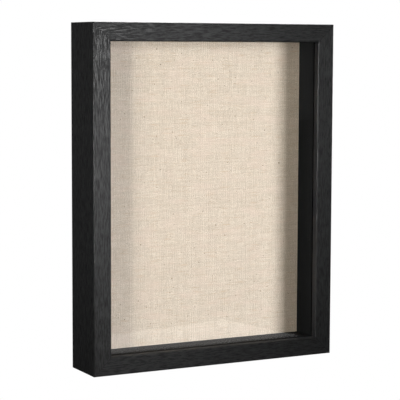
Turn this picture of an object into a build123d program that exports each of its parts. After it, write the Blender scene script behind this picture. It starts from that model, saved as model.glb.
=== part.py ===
from build123d import *
import os

# A deep picture frame with a glazed front and a removable linen-covered back board.
# Frame: origin at the centre of the bottom face, +X to the right seen from the front,
# +Y rearwards, +Z up. All sizes are in millimetres.

INCH = 25.4

# Driving sizes of the moulding
WIDTH = 236.0
HEIGHT = 300.0
FACE = 16.0  # width of the moulding's front face
LIP = 6.5  # thickness of the lip in front of the glass
FRONT_ARRIS = 1.0  # rounding of the moulding's long edges
REAR_ARRIS = 0.6

# The glass takes a letter-size sheet
GLASS_WIDTH = 8.5 * INCH
GLASS_HEIGHT = 11.0 * INCH
GLASS = 2.0
GLASS_SEAM = 0.25  # chamfer of the cut edges

# Spacer strips, their inner faces flush with the lip
SPACER = 6.4
SPACER_DEPTH = 25.0
SPACER_ARRIS = 0.4

# The back: linen over a board, taped to a hardboard panel
CLOTH = 0.6
BOARD = 9.5
PANEL = 3.2
PANEL_ARRIS = 0.4
HEM = 24.0
BACK_PLAY = 0.5  # all round, inside the rabbet
SEAT_GAP = 0.1  # between the spacers and the cloth
RECESS = 0.4  # of the panel below the moulding's rear edge
TAPE_WIDTH = 25.0
TAPE_LENGTH = 150.0
TAPE_SPACING = 60.0

# Turn buttons and their screws
BUTTON = 1.2
BUTTON_WIDTH = 8.0
BUTTON_ARM = 16.0  # from the pivot to the centre of the round tip
BUTTON_LIFT = 0.1
BUTTON_EDGE = 0.3
SHANK_RADIUS = 1.45
PIVOT_CLEARANCE = 0.05
SHANK_LENGTH = 11.0
SHANK_TIP = 2.5
HEAD_RADIUS = 3.0
HEAD = 1.8
HEAD_RIM = 0.6
CROSS_LENGTH = 3.4
CROSS_WIDTH = 0.8
CROSS_DEPTH = 1.0
RAIL_PIVOTS = 60.0  # each side of the middle of the top and bottom rails
STILE_PIVOTS = 80.0  # each side of the middle of the stiles

# V-nails, two in line at each corner
V_NAIL = 0.6
V_NAIL_LEG = 4.6
V_NAIL_DEPTH = 7.0
V_NAIL_GAP = 0.4

# Toothed hangers and their nails
HANGER = 0.8
HANGER_LENGTH = 41.0
HANGER_WIDTH = 7.0
HANGER_TAB = 7.0
HANGER_RISE = 1.2
HANGER_SLOPE = 2.0
HANGER_BEND = 1.0
HANGER_CORNER = 1.5
TOOTH_PITCH = 2.5
TOOTH_DEPTH = 1.5
TEETH = 9
NAIL_RADIUS = 0.6
NAIL_LENGTH = 10.0
NAIL_HEAD_RADIUS = 1.5
NAIL_HEAD = 0.6

# Worked out from the driving sizes
WALL = FACE - SPACER
RABBET_WIDTH = WIDTH - 2 * WALL
RABBET_HEIGHT = HEIGHT - 2 * WALL
BACK_WIDTH = RABBET_WIDTH - 2 * BACK_PLAY
BACK_HEIGHT = RABBET_HEIGHT - 2 * BACK_PLAY
MIDDLE = HEIGHT / 2
BACK_STACK = CLOTH + BOARD + CLOTH + PANEL
DEPTH = LIP + GLASS + SPACER_DEPTH + SEAT_GAP + BACK_STACK + RECESS

# Layers from the front to the rear, each at its front face
FRONT = -DEPTH / 2
GLASS_Y = FRONT + LIP
SPACER_Y = GLASS_Y + GLASS
CLOTH_Y = SPACER_Y + SPACER_DEPTH + SEAT_GAP
BOARD_Y = CLOTH_Y + CLOTH
TAPE_Y = BOARD_Y + BOARD
PANEL_Y = TAPE_Y + CLOTH
REAR = DEPTH / 2
BUTTON_Y = REAR + BUTTON_LIFT
HEAD_Y = BUTTON_Y + BUTTON + BUTTON_LIFT

# Each side of the box is made as the bottom one and then turned about the middle:
# name: (turn about +Y in degrees, length of the side, reach from the middle to the outer face)
SIDES = {
    "bottom": (0, WIDTH, HEIGHT / 2),
    "left": (90, HEIGHT, WIDTH / 2),
    "top": (180, WIDTH, HEIGHT / 2),
    "right": (270, HEIGHT, WIDTH / 2),
}
RAILS = {
    "bottom": "bottom_rail",
    "left": "left_stile",
    "top": "top_rail",
    "right": "right_stile",
}
# The two pivots of each side, by the end that each is nearer to once the side is turned
PIVOTS = {
    "bottom": {"left": -RAIL_PIVOTS, "right": RAIL_PIVOTS},
    "left": {"upper": -STILE_PIVOTS, "lower": STILE_PIVOTS},
    "top": {"right": -RAIL_PIVOTS, "left": RAIL_PIVOTS},
    "right": {"lower": -STILE_PIVOTS, "upper": STILE_PIVOTS},
}
HANGER_SIDES = {"top": "hanger_top", "left": "hanger_side"}


def on_side(shape, side):
    """Turn a shape made at the bottom, about the origin, to its own side of the box."""
    return Pos(0, 0, MIDDLE) * Rot(0, SIDES[side][0], 0) * shape


def slab(width, height, front_y, thickness):
    """A flat board centred on the box, from front_y towards the rear."""
    return Pos(0, front_y + thickness / 2, MIDDLE) * Box(width, thickness, height)


def broken(board, size):
    """A board with the edges of its front and rear faces chamfered."""
    return chamfer(board.edges().filter_by(Axis.Y, reverse=True), size)


def rail(side):
    """One mitred length of moulding, an L in section."""
    turn, length, reach = SIDES[side]
    outer = -reach
    section = Plane.YZ * Polygon(
        (FRONT, outer),
        (FRONT, outer + FACE),
        (GLASS_Y, outer + FACE),
        (GLASS_Y, outer + WALL),
        (REAR, outer + WALL),
        (REAR, outer),
        align=None,
    )
    corners = section.vertices().group_by(Axis.Y)
    section = fillet(corners[0], FRONT_ARRIS)
    corners = section.vertices().group_by(Axis.Y)
    section = fillet(corners[-1], REAR_ARRIS)
    bar = extrude(section, length / 2, both=True)
    mitres = Plane.XZ * Polygon(
        (-length / 2, outer),
        (length / 2, outer),
        (length / 2 - 2 * FACE, outer + 2 * FACE),
        (-length / 2 + 2 * FACE, outer + 2 * FACE),
        align=None,
    )
    return on_side(bar & extrude(mitres, DEPTH, both=True), side)


def spacer(side):
    """A strip against the rabbet wall; the upright ones stand between the level ones."""
    turn, length, reach = SIDES[side]
    upright = side in ("left", "right")
    strip_length = length - 2 * FACE if upright else length - 2 * WALL - 2 * BACK_PLAY
    middle = Vector(0, SPACER_Y + SPACER_DEPTH / 2, -reach + WALL + SPACER / 2)
    strip = Pos(middle) * Box(strip_length, SPACER_DEPTH, SPACER)
    strip = fillet(strip.edges().filter_by(Axis.X), SPACER_ARRIS)
    return on_side(strip, side)


def glass_pane():
    """Clear glass with its cut edges seamed."""
    return broken(slab(GLASS_WIDTH, GLASS_HEIGHT, GLASS_Y, GLASS), GLASS_SEAM)


def linen_cover():
    """Cloth over the board's front and edges, with hems turned in behind it."""
    outer = slab(BACK_WIDTH, BACK_HEIGHT, CLOTH_Y, CLOTH + BOARD + CLOTH)
    window = slab(BACK_WIDTH - 2 * HEM, BACK_HEIGHT - 2 * HEM, TAPE_Y, CLOTH)
    return outer - pin_board() - window


def pin_board():
    """The stiff board inside the linen."""
    return slab(BACK_WIDTH - 2 * CLOTH, BACK_HEIGHT - 2 * CLOTH, BOARD_Y, BOARD)


def adhesive_strips():
    """Upright pads of double-sided tape between the board and the panel."""
    pad = Box(TAPE_WIDTH, CLOTH, TAPE_LENGTH)
    places = [-TAPE_SPACING, 0, TAPE_SPACING]
    return [Pos(x, TAPE_Y + CLOTH / 2, MIDDLE) * pad for x in places]


def back_panel():
    """The hardboard that closes the rabbet."""
    return broken(slab(BACK_WIDTH, BACK_HEIGHT, PANEL_Y, PANEL), PANEL_ARRIS)


def pivot_place(side, along):
    """Where a button's screw stands, in the middle of the moulding's rear edge."""
    return Pos(along, 0, -SIDES[side][2] + WALL / 2)


def turn_button(side, along):
    """A stamped steel button, open: it lies along the moulding."""
    middle = Pos(-BUTTON_ARM / 2, 0)
    outline = middle * SlotCenterToCenter(BUTTON_ARM, BUTTON_WIDTH)
    outline -= Circle(SHANK_RADIUS + PIVOT_CLEARANCE)
    plate = extrude(Plane.XZ.offset(-BUTTON_Y) * outline, -BUTTON)
    outer_face = plate.faces().sort_by(Axis.Y)[-1]
    plate = chamfer(outer_face.outer_wire().edges(), BUTTON_EDGE)
    return on_side(pivot_place(side, along) * plate, side)


def screw(side, along):
    """A pan-head wood screw with a cross recess, its axis along Y."""
    tip_y = REAR - SHANK_LENGTH
    dome_top = HEAD_Y + HEAD
    shank = Polyline(
        (0, dome_top),
        (0, tip_y),
        (SHANK_RADIUS, tip_y + SHANK_TIP),
        (SHANK_RADIUS, HEAD_Y),
        (HEAD_RADIUS, HEAD_Y),
        (HEAD_RADIUS, HEAD_Y + HEAD_RIM),
    )
    dome = TangentArc((0, dome_top), (HEAD_RADIUS, HEAD_Y + HEAD_RIM), tangent=(1, 0))
    body = revolve(make_face([shank, dome]), Axis.Y)
    slot = Pos(0, dome_top, 0) * Box(CROSS_LENGTH, 2 * CROSS_DEPTH, CROSS_WIDTH)
    body -= slot + Rot(0, 90, 0) * slot
    return on_side(pivot_place(side, along) * body, side)


def v_nails():
    """Steel Vs that straddle each mitre, driven in from the rear."""
    inset = (WALL - V_NAIL_LEG) / 2
    reach = inset + V_NAIL_LEG
    outline = Polygon(
        (inset, inset),
        (reach, inset),
        (reach, inset + V_NAIL),
        (inset + V_NAIL, inset + V_NAIL),
        (inset + V_NAIL, reach),
        (inset, reach),
        align=None,
    )
    nails = []
    for first in (0, V_NAIL_DEPTH + V_NAIL_GAP):
        face = Plane.XZ.offset(first - REAR) * outline
        nail = Pos(-WIDTH / 2, 0, 0) * extrude(face, V_NAIL_DEPTH)
        pair = [nail, mirror(nail, Plane.YZ)]
        nails += pair + [mirror(one, Plane.XY.offset(MIDDLE)) for one in pair]
    return nails


def nail_axes():
    """Where a hanger's two nails stand, along the side."""
    reach = (HANGER_LENGTH - HANGER_TAB) / 2
    return [-reach, reach]


def hanger(side):
    """A toothed hanger: two nailed tabs and a raised bridge with its teeth inwards."""
    half = HANGER_LENGTH / 2
    foot = half - HANGER_TAB
    crest = foot - HANGER_SLOPE
    under = [(-half, 0), (-foot, 0), (-crest, HANGER_RISE)]
    under += [(-x, y) for x, y in reversed(under)]
    over = [(x, y + HANGER) for x, y in reversed(under)]
    strip = Pos(0, REAR) * Polygon(*under, *over, align=None)
    bends = [corner for corner in strip.vertices() if abs(corner.X) < half - HANGER]
    strip = fillet(bends, HANGER_BEND)
    plate = extrude(strip, HANGER_WIDTH / 2, both=True)
    corners = plate.edges().filter_by(Axis.Y).group_by(Axis.X)
    plate = fillet(corners[0] + corners[-1], HANGER_CORNER)
    tooth = Polygon(
        (-TOOTH_PITCH / 2, 0),
        (TOOTH_PITCH / 2, 0),
        (0, -TOOTH_DEPTH),
        align=None,
    )
    first = -(TEETH - 1) / 2 * TOOTH_PITCH
    for i in range(TEETH):
        notch = Plane.XZ * Pos(first + i * TOOTH_PITCH, HANGER_WIDTH / 2) * tooth
        plate -= extrude(notch, DEPTH, both=True)
    for along in nail_axes():
        plate -= Pos(along, REAR, 0) * Rot(90, 0, 0) * Cylinder(NAIL_RADIUS, DEPTH)
    return on_side(pivot_place(side, 0) * plate, side)


def hanger_nail(side, along):
    """A round nail through a hanger's tab."""
    head_y = REAR + HANGER
    nail = Polyline(
        (0, head_y + NAIL_HEAD),
        (0, head_y - NAIL_LENGTH),
        (NAIL_RADIUS, head_y - NAIL_LENGTH + 2 * NAIL_RADIUS),
        (NAIL_RADIUS, head_y),
        (NAIL_HEAD_RADIUS, head_y),
        (NAIL_HEAD_RADIUS, head_y + NAIL_HEAD),
        close=True,
    )
    return on_side(pivot_place(side, along) * revolve(make_face(nail), Axis.Y), side)


def write(name, shape):
    """Write one node, a single solid or a group of them."""
    group = Compound(children=shape) if isinstance(shape, list) else shape
    export_step(group, f"parts/{name}.step")


os.makedirs("parts", exist_ok=True)

screws = [screw(side, along) for side in SIDES for along in PIVOTS[side].values()]
nails = [hanger_nail(side, along) for side in HANGER_SIDES for along in nail_axes()]
wedges = v_nails()

for side in SIDES:
    bar = rail(side)
    for fixing in screws + nails + wedges:
        bar -= fixing
    write(RAILS[side], bar)
    write(f"spacer_{side}", spacer(side))
    for end, along in PIVOTS[side].items():
        write(f"turn_button_{side}_{end}", turn_button(side, along))

for side, name in HANGER_SIDES.items():
    write(name, hanger(side))

write("glass_pane", glass_pane())
write("linen_cover", linen_cover())
write("pin_board", pin_board())
write("adhesive_strips", adhesive_strips())
write("back_panel", back_panel())
write("turn_button_screws", screws)
write("hanger_nails", nails)
write("v_nails", wedges)
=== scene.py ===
import math

import bmesh
import bpy
from mathutils import Matrix, Vector, noise


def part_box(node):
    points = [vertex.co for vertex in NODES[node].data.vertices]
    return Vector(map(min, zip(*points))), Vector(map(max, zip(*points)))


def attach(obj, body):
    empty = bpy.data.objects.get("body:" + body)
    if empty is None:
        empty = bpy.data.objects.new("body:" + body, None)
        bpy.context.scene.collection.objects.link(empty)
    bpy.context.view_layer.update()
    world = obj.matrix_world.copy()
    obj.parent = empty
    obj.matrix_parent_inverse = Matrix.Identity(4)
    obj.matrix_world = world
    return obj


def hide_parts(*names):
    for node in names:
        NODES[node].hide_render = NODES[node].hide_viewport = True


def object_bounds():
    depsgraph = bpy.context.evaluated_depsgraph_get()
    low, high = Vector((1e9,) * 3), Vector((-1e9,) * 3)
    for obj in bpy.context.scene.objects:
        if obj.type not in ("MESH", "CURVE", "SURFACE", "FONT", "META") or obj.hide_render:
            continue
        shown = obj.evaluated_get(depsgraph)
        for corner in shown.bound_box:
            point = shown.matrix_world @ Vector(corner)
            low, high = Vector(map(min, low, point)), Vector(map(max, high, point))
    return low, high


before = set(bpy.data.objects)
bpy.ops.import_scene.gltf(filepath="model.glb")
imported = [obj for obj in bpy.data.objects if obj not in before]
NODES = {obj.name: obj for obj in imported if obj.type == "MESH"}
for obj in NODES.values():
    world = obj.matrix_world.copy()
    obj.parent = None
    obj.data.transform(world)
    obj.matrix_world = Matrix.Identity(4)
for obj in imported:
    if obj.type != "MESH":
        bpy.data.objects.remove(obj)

CAD_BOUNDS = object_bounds()
MM = 0.001

RAILS_ALONG_X = ("top_rail", "bottom_rail")
STILES_ALONG_Z = ("left_stile", "right_stile")
SPACERS_ALONG_X = ("spacer_top", "spacer_bottom")
SPACERS_ALONG_Z = ("spacer_left", "spacer_right")

# The outside of the moulding, from the frame
OUTER_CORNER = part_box("right_stile")[1]
HALF_WIDTH = OUTER_CORNER.x
HEIGHT = OUTER_CORNER.z
MIDDLE = Vector((0, 0, HEIGHT / 2))

# The linen: a sheet stretched over the board and turned in behind it
THREAD_PITCH = 1.06 * MM
HEM = 24.0 * MM
CLOTH_THICKNESS = 0.45 * MM
CLOTH_BEND = 1.2 * MM
CLOTH_STEP = 1.6 * MM
CORNER_STEPS = 3
BEND_STEPS = 3
SIDE_STEPS = 5
HEM_STEPS = 8
WELD = 0.001 * MM

# The relief of the linen's face, with the size of its slack and slubs in cells per metre
FACE_BEHIND = 0.06 * MM
SLACK_DEPTH = 0.04 * MM
SLUB_HEIGHT = 0.05 * MM
SLACK_CELLS = 38.0
SLUB_CELLS_ALONG = 45.0
SLUB_CELLS_ACROSS = 420.0

# Colours, as shares of linear red, green and blue light
WHITE = (1.0, 1.0, 1.0)
WOOD_PORE = (0.0016, 0.0016, 0.0017)
WOOD_LAND = (0.0365, 0.0370, 0.0378)
WOOD_JOINT = (0.0015, 0.0014, 0.0013)
# Rounded edges: partly wear, partly a painted highlight
WOOD_WORN_AND_HIGHLIGHT = (0.036, 0.035, 0.034)
# Painted shade on the lip's faces that look into the box
WOOD_PAINTED_SHADE = (0.006, 0.007, 0.009)
STRIP_DARK = (0.0070, 0.0078, 0.0088)
STRIP_PALE = (0.0155, 0.0172, 0.0195)
# Painted shade on the spacers' ends behind the lip
STRIP_PAINTED_SHADE = (0.0005, 0.0005, 0.0006)
GLASS_TINT = (0.985, 0.99, 0.988)
GLASS_MIRROR = 0.035
LINEN_DARK = (0.532, 0.446, 0.366)
LINEN_PALE = (0.786, 0.694, 0.602)
LINEN_TAN = (0.62, 0.460, 0.330)
LINEN_BLUSH = (0.75, 0.600, 0.525)
# Painted shade in the gaps between the threads
LINEN_PAINTED_GAP_SHADE = (0.46, 0.375, 0.29)
LINEN_FLECK = (0.16, 0.11, 0.07)
HARDBOARD_DARK = (0.075, 0.040, 0.020)
HARDBOARD_PALE = (0.21, 0.125, 0.068)
HARDBOARD_SHRED = (0.045, 0.024, 0.012)
STEEL_GREY = (0.50, 0.51, 0.52)
STEEL_PALE = (0.62, 0.62, 0.61)
BOARD_GREY = (0.55, 0.52, 0.46)
BOARD_PALE = (0.74, 0.72, 0.66)
TAPE_GREY = (0.66, 0.66, 0.64)
TAPE_PALE = (0.80, 0.80, 0.78)

# The camera stands front left of the box, a little above its middle; angles are in degrees
CAMERA_PLACE = Vector((-0.6316, -1.196, 0.278))
CAMERA_YAW = -27.65
CAMERA_PITCH = 5.65
CAMERA_ROLL = 0.2
CAMERA_LENS = 137.7
SENSOR_WIDTH = 36.0
CLIP_NEAR = 0.01
CLIP_FAR = 50.0

# The studio, in metres; the room's own light is faint, because the lamps light the box
LAMP_DISTANCE = 2.0
FLOOR_HALF_SIDE = 4.0
FLOOR_GAP = 0.2 * MM
FLOOR_BOUNCE = (0.02, 0.02, 0.02)
ROOM_LIGHT = 0.06

# A glowing card that only the glass mirrors: its corner at the front right, its turn in degrees
CARD_CORNER = Vector((0.114, -0.207, -0.1 * MM))
CARD_SIDE = 0.30
CARD_TURN = 78.6
CARD_GLOW = 0.8

# The sockets of a Mix node by number, because each kind of data has its own A and B
MIX_SHARE = 0
MIX_NUMBERS = (2, 3)
MIX_COLOURS = (6, 7)
MIX_COLOUR_OUT = 2

# ---------------------------------------------------------------- node trees


class Surface:
    """A material and short ways to add nodes to its tree and join them."""

    def __init__(self, name):
        self.material = bpy.data.materials.new(name)
        self.material.use_nodes = True
        self.nodes = self.material.node_tree.nodes
        self.links = self.material.node_tree.links
        self.nodes.clear()

    def add(self, kind, *inputs, named=None, out=0, **attributes):
        """A node's output; inputs fill its sockets in order, and named ones by name."""
        node = self.nodes.new(kind)
        for name, value in attributes.items():
            setattr(node, name, value)
        filled = list(enumerate(inputs)) + list((named or {}).items())
        for key, value in filled:
            if isinstance(value, bpy.types.NodeSocket):
                self.links.new(value, node.inputs[key])
            else:
                node.inputs[key].default_value = value
        return node.outputs[out]

    def math(self, operation, *inputs):
        return self.add("ShaderNodeMath", *inputs, operation=operation)

    def place(self):
        """The point in the shared frame, in metres: every piece's origin is the frame's."""
        return self.add("ShaderNodeTexCoord", out="Object")

    def normal(self):
        return self.add("ShaderNodeNewGeometry", out="Normal")

    def parts(self, vector):
        """The three numbers of a vector."""
        return self.add("ShaderNodeSeparateXYZ", vector).node.outputs

    def vector(self, x, y, z):
        return self.add("ShaderNodeCombineXYZ", x, y, z)

    def scaled(self, vector, x, y, z):
        return self.add("ShaderNodeVectorMath", vector, (x, y, z), operation="MULTIPLY")

    def moved(self, vector, x, y, z):
        return self.add("ShaderNodeVectorMath", vector, (x, y, z), operation="ADD")

    def noise(self, vector, detail=2.0, rough=0.5, twist=0.0):
        """Noise from 0 to 1; its vector's scale is in cells per metre."""
        named = {"Vector": vector, "Scale": 1.0, "Detail": detail}
        named.update({"Roughness": rough, "Distortion": twist})
        return self.add("ShaderNodeTexNoise", named=named)

    def spread(self, value, low, high, to_low=0.0, to_high=1.0, kind="SMOOTHSTEP"):
        """value from low..high to to_low..to_high, held at the ends."""
        inputs = (value, low, high, to_low, to_high)
        return self.add("ShaderNodeMapRange", *inputs, interpolation_type=kind)

    def between(self, share, a, b):
        """Number a to number b by share."""
        named = dict(zip((MIX_SHARE, *MIX_NUMBERS), (share, a, b)))
        return self.add("ShaderNodeMix", named=named)

    def mixed(self, share, a, b):
        """Colour a to colour b by share."""
        colours = [(*value, 1.0) if isinstance(value, tuple) else value for value in (a, b)]
        named = dict(zip((MIX_SHARE, *MIX_COLOURS), (share, *colours)))
        return self.add("ShaderNodeMix", named=named, out=MIX_COLOUR_OUT, data_type="RGBA")

    def bump(self, height, distance, strength):
        named = {"Strength": strength, "Distance": distance, "Height": height}
        return self.add("ShaderNodeBump", named=named)

    def finish(self, shader):
        output = self.nodes.new("ShaderNodeOutputMaterial")
        self.links.new(shader, output.inputs["Surface"])
        return self.material

    def principled(self, **named):
        """A Principled shader; a socket's name is written with _ for its spaces."""
        sockets = {key.replace("_", " "): value for key, value in named.items()}
        return self.add("ShaderNodeBsdfPrincipled", named=sockets)


# ---------------------------------------------------------------- materials


def stained_wood(name, along, seed):
    """Open-grained wood under a black stain, its grain along X or Z."""
    s = Surface(name)
    x, y, z = s.parts(s.place())
    grain, across = (x, z) if along == "X" else (z, x)
    flow = s.moved(s.vector(grain, across, y), 0.37 * seed, 0.11 * seed, 0.0)
    # The fibres wander across the length
    wander = s.noise(s.scaled(flow, 25, 60, 60), detail=1.0)
    sway = s.math("MULTIPLY", s.math("SUBTRACT", wander, 0.5), 0.3 * MM)
    grain_in, across_in, depth_in = s.parts(flow)
    bent = s.vector(grain_in, s.math("ADD", across_in, sway), s.math("ADD", depth_in, sway))
    strokes = s.noise(s.scaled(bent, 110, 1000, 1000), detail=3.0, rough=0.75)
    fibres = s.noise(s.scaled(bent, 500, 4200, 4200), detail=1.0)
    rings = s.noise(s.scaled(bent, 1.5, 420, 420), detail=1.0)
    # Lands between the open pores take the sheen, the pores stay dull
    land = s.math("ADD", strokes, s.math("MULTIPLY", s.math("SUBTRACT", rings, 0.5), 0.09))
    land = s.spread(land, 0.41, 0.57, kind="LINEAR")
    tone = s.math("ADD", s.math("MULTIPLY", land, 0.7), s.math("MULTIPLY", fibres, 0.3))
    colour = s.mixed(tone, WOOD_PORE, WOOD_LAND)
    # A hairline where the mitres meet
    from_side = s.math("SUBTRACT", HALF_WIDTH, s.math("ABSOLUTE", x))
    from_middle_z = s.math("SUBTRACT", z, HEIGHT / 2)
    from_end = s.math("SUBTRACT", HEIGHT / 2, s.math("ABSOLUTE", from_middle_z))
    off_mitre = s.math("ABSOLUTE", s.math("SUBTRACT", from_side, from_end))
    joint = s.spread(off_mitre, 0.12 * MM, 0.5 * MM)
    colour = s.mixed(joint, WOOD_JOINT, colour)
    # Rounded edges are rubbed smoother and painted lighter: partly wear, partly a painted
    # highlight
    normal = s.normal()
    nx, ny, nz = s.parts(s.add("ShaderNodeVectorMath", normal, operation="ABSOLUTE"))
    squarest = s.math("MAXIMUM", s.math("MAXIMUM", nx, ny), nz)
    edge = s.spread(squarest, 0.97, 0.80)
    wear_and_highlight = s.math("MULTIPLY", edge, s.spread(rings, 0.35, 0.6, 0.4, 1.0))
    colour = s.mixed(s.math("MULTIPLY", wear_and_highlight, 0.5), colour, WOOD_WORN_AND_HIGHLIGHT)
    rough = s.spread(land, 0.0, 1.0, 0.64, 0.37, "LINEAR")
    rough = s.between(wear_and_highlight, rough, 0.18)
    # The lip's faces that look into the box are made duller, and painted darker and bluer: painted
    # shade
    outwards = s.vector(s.math("SIGN", x), 0.0, s.math("SIGN", from_middle_z))
    inwards = s.add("ShaderNodeVectorMath", normal, outwards, operation="DOT_PRODUCT", out="Value")
    dull_and_painted_shade = s.spread(inwards, -0.90, -0.985)
    rough = s.between(dull_and_painted_shade, rough, 0.76)
    colour = s.mixed(s.math("MULTIPLY", dull_and_painted_shade, 0.9), colour, WOOD_PAINTED_SHADE)
    height = s.math("ADD", land, s.math("MULTIPLY", fibres, 0.25))
    height = s.math("MULTIPLY", height, joint)
    relief = s.bump(height, 0.07 * MM, 0.8)
    shader = s.principled(
        Base_Color=colour, Roughness=rough, Normal=relief, Specular_IOR_Level=0.5
    )
    return s.finish(shader)


def black_strip(name, along):
    """The spacers' satin black paint, with the strip's grain under it, along X or Z."""
    s = Surface(name)
    x, y, z = s.parts(s.place())
    grain, across = (x, z) if along == "X" else (z, x)
    flow = s.vector(grain, across, y)
    mottle = s.noise(s.scaled(flow, 40, 600, 600), detail=3.0)
    fine = s.noise(s.scaled(flow, 120, 2200, 2200), detail=2.0)
    colour = s.mixed(mottle, STRIP_DARK, STRIP_PALE)
    rough = s.spread(mottle, 0.3, 0.7, 0.46, 0.56, "LINEAR")
    # The edges that press on the glass are painted black: a painted shade line behind the lip
    backwards = s.parts(s.normal())[1]
    colour = s.mixed(s.spread(backwards, -0.80, -0.95), colour, STRIP_PAINTED_SHADE)
    relief = s.bump(s.math("ADD", mottle, fine), 0.04 * MM, 0.6)
    shader = s.principled(
        Base_Color=colour, Roughness=rough, Normal=relief, Specular_IOR_Level=0.013
    )
    return s.finish(shader)


def clear_glass():
    """Thin flat glass: what is behind it shows straight through, under a faint mirror."""
    s = Surface("clear_glass")
    wear = s.noise(s.scaled(s.place(), 14, 14, 14), detail=2.0)
    rough = s.spread(wear, 0.3, 0.8, 0.0, 0.03, "LINEAR")
    clear = s.add("ShaderNodeBsdfTransparent", (*GLASS_TINT, 1.0))
    mirror = s.add("ShaderNodeBsdfGlossy", (*WHITE, 1.0), rough)
    # Schlick's curve, the same from both sides of the pane, which a Fresnel node is not
    facing = s.add("ShaderNodeLayerWeight", named={"Blend": 0.5}, out="Facing")
    grazing = s.math("POWER", facing, 5.0)
    share = s.math("MULTIPLY_ADD", grazing, 1.0 - GLASS_MIRROR, GLASS_MIRROR)
    return s.finish(s.add("ShaderNodeMixShader", share, clear, mirror))


def thread_tone(s, position, along, seed):
    """How light each thread is, with slubs along it."""
    index = s.math("FLOOR", s.math("DIVIDE", position, THREAD_PITCH))
    drawn = {"W": s.math("ADD", index, seed)}
    each = s.add("ShaderNodeTexWhiteNoise", named=drawn, noise_dimensions="1D")
    slub_at = s.vector(s.math("MULTIPLY", along, 130.0), s.math("MULTIPLY", index, 7.31), seed)
    slub = s.noise(slub_at, detail=2.0)
    return s.math("ADD", s.math("MULTIPLY", each, 0.30), s.math("MULTIPLY", slub, 1.1))


def linen():
    """Natural linen in a plain weave, with uneven threads, slubs and a few dark flecks."""
    s = Surface("linen")
    x, y, z = s.parts(s.place())
    # The sides of the cover run on from the front, so depth adds to both directions
    x = s.math("ADD", x, y)
    z = s.math("ADD", z, y)
    wander_at = s.vector(s.math("MULTIPLY", x, 22.0), 0.0, s.math("MULTIPLY", z, 22.0))
    wander = s.noise(wander_at, detail=2.0)
    sway = s.math("MULTIPLY", s.math("SUBTRACT", wander, 0.5), 3.0 * MM)
    across = s.math("ADD", x, sway)
    up = s.math("ADD", z, sway)
    warp_wave = s.math("SINE", s.math("MULTIPLY", across, math.pi / THREAD_PITCH))
    weft_wave = s.math("SINE", s.math("MULTIPLY", up, math.pi / THREAD_PITCH))
    over = s.math("GREATER_THAN", s.math("MULTIPLY", warp_wave, weft_wave), 0.0)
    warp = s.math("ABSOLUTE", warp_wave)
    weft = s.math("ABSOLUTE", weft_wave)
    warp_top = s.math("MULTIPLY", warp, s.math("MULTIPLY_ADD", weft, 0.5, 0.5))
    weft_top = s.math("MULTIPLY", weft, s.math("MULTIPLY_ADD", warp, 0.5, 0.5))
    height = s.between(over, weft_top, warp_top)
    warp_tone = thread_tone(s, across, z, seed=3.0)
    weft_tone = thread_tone(s, up, x, seed=41.0)
    tone = s.between(over, weft_tone, warp_tone)
    face = s.vector(x, 0.0, z)
    cloud = s.noise(s.scaled(face, 60, 1, 60), detail=3.0)
    tone = s.math("MULTIPLY_ADD", tone, 0.55, 0.12)
    tone = s.math("ADD", tone, s.math("MULTIPLY", cloud, 0.20))
    # Uneven spinning: specks in every thread, and longer pale or dark stretches of some.
    # Each pattern is cut from the noise at its own depth, so that no two line up.
    specks = s.noise(s.moved(s.scaled(face, 950, 1, 950), 0.0, 5.0, 0.0), detail=1.0)
    level_streaks = s.noise(s.moved(s.scaled(face, 70, 1, 1000), 0.0, 17.0, 0.0), detail=1.0)
    upright_streaks = s.noise(s.moved(s.scaled(face, 1000, 1, 70), 0.0, 29.0, 0.0), detail=1.0)
    for pattern, weight in ((specks, 0.95), (level_streaks, 0.26), (upright_streaks, 0.40)):
        tone = s.math("ADD", tone, s.math("MULTIPLY", s.math("SUBTRACT", pattern, 0.5), weight))
    # Warp threads are painted lighter and darker by turns: painted highlight and shade, as if
    # every other one lay proud
    tone = s.math("ADD", tone, s.math("MULTIPLY", warp_wave, 0.04))
    colour = s.mixed(s.spread(tone, 0.30, 0.95), LINEN_DARK, LINEN_PALE)
    # Tan threads, a rosy blush here and there, and painted shade in the gaps between the threads
    tan = s.spread(level_streaks, 0.45, 0.25, 0.0, 0.6)
    colour = s.mixed(tan, colour, LINEN_TAN)
    blush = s.noise(s.moved(s.scaled(face, 35, 1, 110), 0.0, 53.0, 0.0), detail=2.0)
    colour = s.mixed(s.spread(blush, 0.45, 0.70, 0.0, 0.35), colour, LINEN_BLUSH)
    gap_shade = s.spread(height, 0.0, 0.35)
    colour = s.mixed(gap_shade, LINEN_PAINTED_GAP_SHADE, colour)
    flecks = s.noise(s.moved(s.scaled(face, 520, 1, 520), 0.0, 9.0, 0.0), detail=1.0)
    colour = s.mixed(s.spread(flecks, 0.71, 0.76), colour, LINEN_FLECK)
    relief = s.bump(height, 0.12 * MM, 0.5)
    shader = s.principled(
        Base_Color=colour, Roughness=0.85, Normal=relief, Specular_IOR_Level=0.2,
        Sheen_Weight=0.15, Sheen_Roughness=0.5,
    )
    return s.finish(shader)


def hardboard():
    """Pressed brown fibre."""
    s = Surface("hardboard")
    point = s.place()
    fibre = s.noise(s.scaled(point, 700, 700, 700), detail=4.0, rough=0.75)
    cloud = s.noise(s.scaled(point, 25, 25, 25), detail=2.0)
    shreds = s.noise(s.scaled(point, 260, 900, 900), detail=2.0, twist=1.5)
    tone = s.math("ADD", s.math("MULTIPLY", fibre, 0.8), s.math("MULTIPLY", cloud, 0.22))
    colour = s.mixed(s.spread(tone, 0.32, 0.72), HARDBOARD_DARK, HARDBOARD_PALE)
    colour = s.mixed(s.spread(shreds, 0.62, 0.72, 0.0, 0.6), colour, HARDBOARD_SHRED)
    rough = s.spread(fibre, 0.3, 0.7, 0.5, 0.66, "LINEAR")
    relief = s.bump(fibre, 0.08 * MM, 0.4)
    return s.finish(s.principled(Base_Color=colour, Roughness=rough, Normal=relief))


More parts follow.
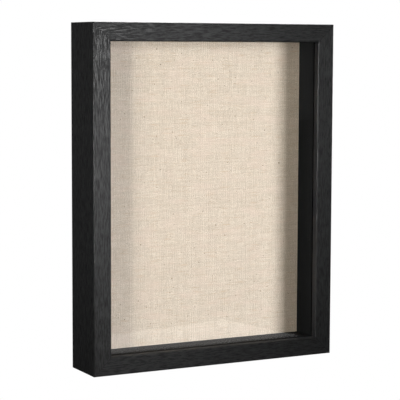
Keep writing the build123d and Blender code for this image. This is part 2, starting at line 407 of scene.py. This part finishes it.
def plated_steel():
    """Zinc-plated steel, faintly brushed and spotted."""
    s = Surface("plated_steel")
    point = s.place()
    brushed = s.noise(s.scaled(point, 400, 400, 5200), detail=2.0)
    spots = s.noise(s.scaled(point, 700, 700, 700), detail=3.0)
    colour = s.mixed(spots, STEEL_GREY, STEEL_PALE)
    rough = s.spread(spots, 0.3, 0.75, 0.30, 0.40, "LINEAR")
    relief = s.bump(brushed, 0.008 * MM, 0.4)
    return s.finish(s.principled(Base_Color=colour, Metallic=1.0, Roughness=rough, Normal=relief))


def board_card():
    """The board's pale pressed fibre."""
    s = Surface("board_card")
    fibre = s.noise(s.scaled(s.place(), 600, 600, 600), detail=4.0)
    colour = s.mixed(fibre, BOARD_GREY, BOARD_PALE)
    relief = s.bump(fibre, 0.08 * MM, 0.5)
    return s.finish(s.principled(Base_Color=colour, Roughness=0.85, Normal=relief))


def foam_tape():
    """White foam tape, with fine cells."""
    s = Surface("foam_tape")
    cells = s.noise(s.scaled(s.place(), 1400, 1400, 1400), detail=2.0)
    colour = s.mixed(cells, TAPE_GREY, TAPE_PALE)
    relief = s.bump(cells, 0.06 * MM, 0.5)
    return s.finish(s.principled(Base_Color=colour, Roughness=0.7, Normal=relief))


def dress(names, material):
    """Give CAD nodes a material in place of their plain one."""
    for name in names:
        mesh = NODES[name].data
        mesh.materials.clear()
        mesh.materials.append(material)


def dress_nodes():
    """Each length of moulding has its own grain; the other pieces share their materials."""
    for seed, name in enumerate(RAILS_ALONG_X, start=1):
        dress([name], stained_wood(f"wood_{name}", "X", seed))
    for seed, name in enumerate(STILES_ALONG_Z, start=5):
        dress([name], stained_wood(f"wood_{name}", "Z", seed))
    dress(SPACERS_ALONG_X, black_strip("black_strip_level", "X"))
    dress(SPACERS_ALONG_Z, black_strip("black_strip_upright", "Z"))
    dress(["glass_pane"], clear_glass())
    dress(["back_panel"], hardboard())
    dress(["pin_board"], board_card())
    dress(["adhesive_strips"], foam_tape())
    buttons = [name for name in NODES if name.startswith("turn_button")]
    hangers_and_nails = ["hanger_top", "hanger_side", "hanger_nails", "v_nails"]
    dress(buttons + hangers_and_nails, plated_steel())


# ---------------------------------------------------------------- the linen


def rim_of(grid):
    """The front's outline, once round: (grid vertex, outward direction), a fan at each corner."""
    columns = len(grid) - 1
    rows = len(grid[0]) - 1
    fan = [math.radians(90 * i / CORNER_STEPS) for i in range(CORNER_STEPS + 1)]
    rim = []
    for i in range(1, columns):
        rim.append((grid[i][0], (0, -1)))
    rim += [(grid[columns][0], (math.sin(a), -math.cos(a))) for a in fan]
    for j in range(1, rows):
        rim.append((grid[columns][j], (1, 0)))
    rim += [(grid[columns][rows], (math.cos(a), math.sin(a))) for a in fan]
    for i in range(columns - 1, 0, -1):
        rim.append((grid[i][rows], (0, 1)))
    rim += [(grid[0][rows], (-math.sin(a), math.cos(a))) for a in fan]
    for j in range(rows - 1, 0, -1):
        rim.append((grid[0][j], (-1, 0)))
    rim += [(grid[0][0], (-math.cos(a), -math.sin(a))) for a in fan]
    return rim


def face_grid(work, front, half_x, half_z, middle_z):
    """The sheet's front as a grid of small faces, from its lower left corner."""
    columns = round(2 * half_x / CLOTH_STEP)
    rows = round(2 * half_z / CLOTH_STEP)
    grid = []
    for i in range(columns + 1):
        x = half_x * (2 * i / columns - 1)
        heights = [middle_z + half_z * (2 * j / rows - 1) for j in range(rows + 1)]
        grid.append([work.verts.new((x, front + thread_relief(x, z), z)) for z in heights])
    for i in range(columns):
        for j in range(rows):
            corners = (grid[i][j], grid[i + 1][j], grid[i + 1][j + 1], grid[i][j + 1])
            work.faces.new(corners)
    return grid


def edge_profile(depth):
    """The way round the board's edge, from its front to its back: (outwards, backwards)."""
    bend = [math.radians(90 * i / BEND_STEPS) for i in range(1, BEND_STEPS + 1)]
    profile = [(CLOTH_BEND * math.sin(a), CLOTH_BEND * (1 - math.cos(a))) for a in bend]
    flat_side = depth - 2 * CLOTH_BEND
    for i in range(1, SIDE_STEPS + 1):
        profile.append((CLOTH_BEND, CLOTH_BEND + flat_side * i / SIDE_STEPS))
    for a in bend:
        profile.append((CLOTH_BEND * math.cos(a), depth - CLOTH_BEND + CLOTH_BEND * math.sin(a)))
    return profile


def linen_cloth(material):
    """One sheet stretched over the board's front, round its edges and in behind it."""
    low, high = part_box("linen_cover")
    depth = high.y - low.y
    half_x = (high.x - low.x) / 2 - CLOTH_BEND
    half_z = (high.z - low.z) / 2 - CLOTH_BEND
    middle_z = (high.z + low.z) / 2
    work = bmesh.new()
    rim = rim_of(face_grid(work, low.y, half_x, half_z, middle_z))
    last = [vertex for vertex, outward in rim]
    for out, back in edge_profile(depth):
        ring = []
        for vertex, outward in rim:
            x = vertex.co.x + out * outward[0]
            z = vertex.co.z + out * outward[1]
            ring.append(work.verts.new((x, low.y + back, z)))
        last = join_rings(work, last, ring)
    turned_in = HEM - CLOTH_BEND
    for i in range(1, HEM_STEPS + 1):
        inset = turned_in * i / HEM_STEPS
        ring = []
        for vertex, outward in rim:
            x = vertex.co.x * (1 - inset / half_x)
            z = middle_z + (vertex.co.z - middle_z) * (1 - inset / half_z)
            ring.append(work.verts.new((x, high.y, z)))
        last = join_rings(work, last, ring)
    bmesh.ops.remove_doubles(work, verts=work.verts, dist=WELD)
    bmesh.ops.recalc_face_normals(work, faces=work.faces)
    for face in work.faces:
        face.smooth = True

    mesh = bpy.data.meshes.new("linen_cloth")
    work.to_mesh(mesh)
    work.free()
    cloth = bpy.data.objects.new("linen_cloth", mesh)
    bpy.context.scene.collection.objects.link(cloth)
    mesh.materials.append(material)
    thicken(cloth, CLOTH_THICKNESS)
    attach(cloth, "back")
    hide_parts("linen_cover")
    return cloth


def join_rings(work, inner, outer):
    """Faces between two closed loops of vertices; a fan's first ring makes triangles."""
    count = len(inner)
    for i in range(count):
        j = (i + 1) % count
        corners = [inner[i], inner[j], outer[j], outer[i]]
        if inner[i] is inner[j]:
            corners = [inner[i], outer[j], outer[i]]
        work.faces.new(corners)
    return outer


def thread_relief(x, z):
    """How far the cloth's face lies behind its highest threads: slubs and slight slack."""
    slack = noise.noise((x * SLACK_CELLS, 3.0, z * SLACK_CELLS))
    level_slub = noise.noise((x * SLUB_CELLS_ALONG, 7.0, z * SLUB_CELLS_ACROSS))
    upright_slub = noise.noise((x * SLUB_CELLS_ACROSS, 11.0, z * SLUB_CELLS_ALONG))
    ridge = max(level_slub, upright_slub, 0.0)
    return FACE_BEHIND - SLACK_DEPTH * slack - SLUB_HEIGHT * ridge


def thicken(piece, thickness):
    """Give a sheet its thickness, inwards from its face, and keep the result as its mesh."""
    solid = piece.modifiers.new("thickness", "SOLIDIFY")
    solid.thickness = thickness
    solid.offset = -1.0
    shaped = piece.evaluated_get(bpy.context.evaluated_depsgraph_get())
    mesh = bpy.data.meshes.new_from_object(shaped)
    piece.modifiers.clear()
    piece.data = mesh


# ---------------------------------------------------------------- the stage


def camera():
    """The camera looks along Y, turned to the right and tilted down, with everything sharp."""
    data = bpy.data.cameras.new("camera")
    data.lens = CAMERA_LENS
    data.sensor_width = SENSOR_WIDTH
    data.clip_start = CLIP_NEAR
    data.clip_end = CLIP_FAR
    eye = bpy.data.objects.new("camera", data)
    bpy.context.scene.collection.objects.link(eye)
    turn = Matrix.Rotation(math.radians(CAMERA_YAW), 4, "Z")
    tilt = Matrix.Rotation(math.radians(90 - CAMERA_PITCH), 4, "X")
    roll = Matrix.Rotation(math.radians(CAMERA_ROLL), 4, "Z")
    eye.matrix_world = Matrix.Translation(CAMERA_PLACE) @ turn @ tilt @ roll
    bpy.context.scene.camera = eye


def softbox(
    name, azimuth, elevation, width, height, power, lights, aim=(0, 0), beam=180, tint=WHITE
):
    """A rectangular lamp facing the box's middle; azimuth 0 is straight in front.

    lights is the collection of pieces that it lights. aim is where it points, to the right of
    the middle and above it, and beam the angle in degrees that its light fills.
    """
    a, e = math.radians(azimuth), math.radians(elevation)
    away = Vector((math.sin(a) * math.cos(e), -math.cos(a) * math.cos(e), math.sin(e)))
    data = bpy.data.lights.new(name, "AREA")
    data.shape = "RECTANGLE"
    data.size = width
    data.size_y = height
    data.energy = power
    data.spread = math.radians(beam)
    data.color = tint
    lamp = bpy.data.objects.new(name, data)
    bpy.context.scene.collection.objects.link(lamp)
    lamp.location = MIDDLE + away * LAMP_DISTANCE
    lamp.rotation_mode = "QUATERNION"
    facing = MIDDLE + Vector((aim[0], 0, aim[1])) - lamp.location
    lamp.rotation_quaternion = facing.to_track_quat("-Z", "Y")
    lamp.light_linking.receiver_collection = lights


def lit_together(name, pieces):
    """A collection of pieces that share lamps."""
    group = bpy.data.collections.new(name)
    for piece in pieces:
        group.objects.link(piece)
    return group


def lamps(cloth):
    """The moulding and what it holds are lit apart: one for its sheen, the other for shadows."""
    wood = [NODES[name] for name in RAILS_ALONG_X + STILES_ALONG_Z]
    moulding = lit_together("moulding", wood)
    apart = wood + [NODES["glass_pane"]]
    contents = lit_together("contents", [o for o in NODES.values() if o not in apart] + [cloth])
    # The key, from the right front, leaves the linen's right side in the lip's shade, and the
    # fill, from the left front, its left side.
    # Azimuth and elevation are in degrees, width and height in metres, and power in watts.
    key = {"lights": contents, "aim": (0, -0.105), "beam": 65, "tint": (1.0, 1.0, 1.01)}
    softbox("key_level", 32, 2, 0.72, 0.12, 4.05, **key)
    softbox("key_high", 32, 9.5, 0.72, 0.55, 2.55, **key)
    fill = {"lights": contents, "aim": (0, 0.21), "beam": 50, "tint": (1.04, 1.0, 0.90)}
    softbox("fill_level", -52.5, 3, 0.58, 0.12, 0.82, **fill)
    softbox("fill_high", -52.5, 9.5, 0.58, 0.55, 1.06, **fill)
    softbox("fill_edge", -48, 3, 0.06, 0.30, 0.5, **fill)
    softbox("wood_sheen", 10, 4, 0.35, 0.35, 0.378, moulding, aim=(-0.15, 0.08), beam=22)
    softbox("wood_left", -80, -4, 0.50, 0.50, 0.65, moulding, aim=(0, -0.08), beam=24)
    softbox("wood_right", 100, 5, 0.60, 0.60, 20, moulding)
    softbox("overhead", 0, 80, 1.2, 1.2, 18, moulding)
    softbox("wood_rear", 156, 25, 0.9, 0.9, 45, moulding)
    softbox("rear", 172, 25, 0.9, 0.9, 45, contents)


def table_card():
    """A glowing card on the table, seen only as a faint mirror image low in the glass."""
    data = bpy.data.lights.new("table_card", "AREA")
    data.shape = "SQUARE"
    data.size = CARD_SIDE
    data.energy = CARD_GLOW * math.pi * CARD_SIDE ** 2
    lamp = bpy.data.objects.new("table_card", data)
    bpy.context.scene.collection.objects.link(lamp)
    turn = Matrix.Rotation(math.radians(CARD_TURN), 4, "Z")
    middle = CARD_CORNER + turn @ Vector((CARD_SIDE / 2, CARD_SIDE / 2, 0))
    upwards = Matrix.Rotation(math.pi, 4, "X")
    lamp.matrix_world = Matrix.Translation(middle) @ turn @ upwards
    lamp.visible_camera = False
    lamp.light_linking.receiver_collection = lit_together("mirrored", [NODES["glass_pane"]])


def studio():
    """A white floor and surround, white only to the eye so that they don't light the box."""
    world = bpy.data.worlds.new("studio")
    bpy.context.scene.world = world
    world.use_nodes = True
    nodes, links = world.node_tree.nodes, world.node_tree.links
    nodes.clear()
    seen = nodes.new("ShaderNodeLightPath").outputs["Is Camera Ray"]
    mix = nodes.new("ShaderNodeMixShader")
    links.new(seen, mix.inputs["Fac"])
    for socket, strength in ((1, ROOM_LIGHT), (2, 1.0)):
        light = nodes.new("ShaderNodeBackground")
        light.inputs["Color"].default_value = (*WHITE, 1.0)
        light.inputs["Strength"].default_value = strength
        links.new(light.outputs["Background"], mix.inputs[socket])
    out = nodes.new("ShaderNodeOutputWorld")
    links.new(mix.outputs["Shader"], out.inputs["Surface"])

    mesh = bpy.data.meshes.new("floor")
    work = bmesh.new()
    bmesh.ops.create_grid(work, x_segments=1, y_segments=1, size=FLOOR_HALF_SIDE)
    work.to_mesh(mesh)
    work.free()
    floor = bpy.data.objects.new("floor", mesh)
    bpy.context.scene.collection.objects.link(floor)
    floor.location.z = CAD_BOUNDS[0].z - FLOOR_GAP
    s = Surface("floor_white")
    seen = s.add("ShaderNodeLightPath", out="Is Camera Ray")
    plain = s.add("ShaderNodeBsdfDiffuse", (*FLOOR_BOUNCE, 1.0))
    glow = s.add("ShaderNodeEmission", (*WHITE, 1.0), 1.0)
    mesh.materials.append(s.finish(s.add("ShaderNodeMixShader", seen, plain, glow)))


bpy.context.scene.view_settings.view_transform = "Standard"
camera()
dress_nodes()
cloth = linen_cloth(linen())
lamps(cloth)
table_card()
studio()
